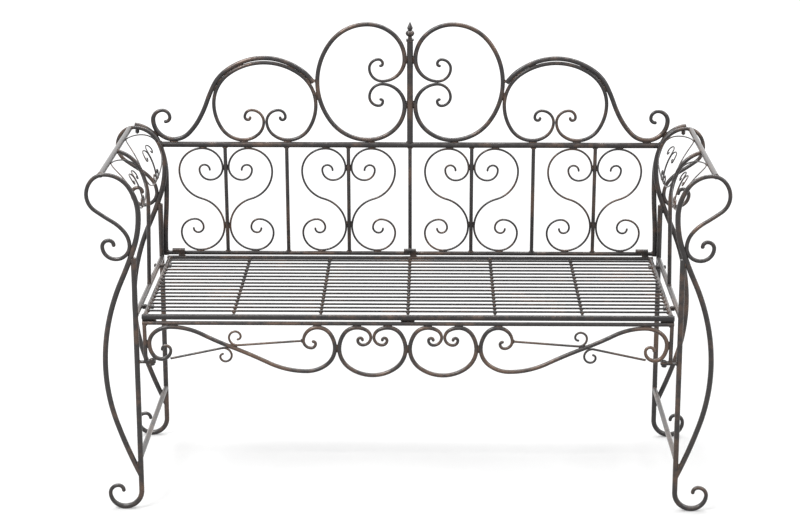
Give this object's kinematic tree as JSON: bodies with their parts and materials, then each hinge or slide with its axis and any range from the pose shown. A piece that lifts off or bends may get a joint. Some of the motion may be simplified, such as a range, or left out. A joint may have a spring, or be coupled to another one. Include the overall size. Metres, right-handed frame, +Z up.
{
  "type": "metal garden bench",
  "caption": "Garden bench of bent round metal tube with a slatted rod seat, scrolled arms on bowed legs, an open scrollwork back with a crest and finial, and a scrolled apron.",
  "frame": {"origin": "on the floor under the middle of the bench's box", "axes": "+X along the bench to its right as seen from the front, +Y from the front legs to the back, +Z up"},
  "size_m": [1.3336, 0.4356, 0.9887],
  "materials": {
    "frame": "satin antique bronze paint, rubbed brown on the edges",
    "scroll": "satin antique bronze paint, rubbed brown on the edges",
    "seat": "satin antique bronze paint",
    "hardware": "dark satin paint"
  },
  "bodies": {
    "root": {"apron_drop_leg_left": "frame", "apron_drop_leg_right": "frame", "apron_top_rail": "frame", "arm_bar_left": "frame", "arm_bar_right": "frame", "arm_post_left": "frame", "arm_post_right": "frame", "back_bars": "frame", "back_bottom_rail": "frame", "back_post_left": "frame", "back_post_right": "frame", "back_top_rail": "frame", "centre_post": "frame", "finial": "frame", "front_bow_left": "frame", "front_bow_right": "frame", "front_leg_left": "frame", "front_leg_right": "frame", "lower_stretcher_left": "frame", "lower_stretcher_right": "frame", "rear_bow_left": "frame", "rear_bow_right": "frame", "rear_leg_left": "frame", "rear_leg_right": "frame", "side_rail_left": "frame", "side_rail_right": "frame", "apron_long_scroll_left": "scroll", "apron_long_scroll_right": "scroll", "apron_lyre_left": "scroll", "apron_lyre_right": "scroll", "apron_wires": "scroll", "arm_rings_left": "scroll", "arm_rings_right": "scroll", "arm_scrolls_left": "scroll", "arm_scrolls_right": "scroll", "back_scroll_pair_1": "scroll", "back_scroll_pair_2": "scroll", "back_scroll_pair_3": "scroll", "back_scroll_pair_4": "scroll", "big_scroll_left": "scroll", "big_scroll_right": "scroll", "crest_strip_left": "scroll", "crest_strip_right": "scroll", "lyre_scroll_left": "scroll", "lyre_scroll_right": "scroll", "seat_cross_bars": "seat", "seat_front_rail": "seat", "seat_rear_rail": "seat", "seat_rods": "seat", "seat_side_rail_left": "seat", "seat_side_rail_right": "seat", "apron_hinge_knuckles": "hardware", "apron_lugs": "hardware", "arm_nuts": "hardware", "back_hinge_leaves": "hardware", "bolts": "hardware", "hinge_pins": "hardware", "nuts": "hardware", "seat_hinge_leaves": "hardware", "spacers": "hardware"}
  },
  "joints": []
}
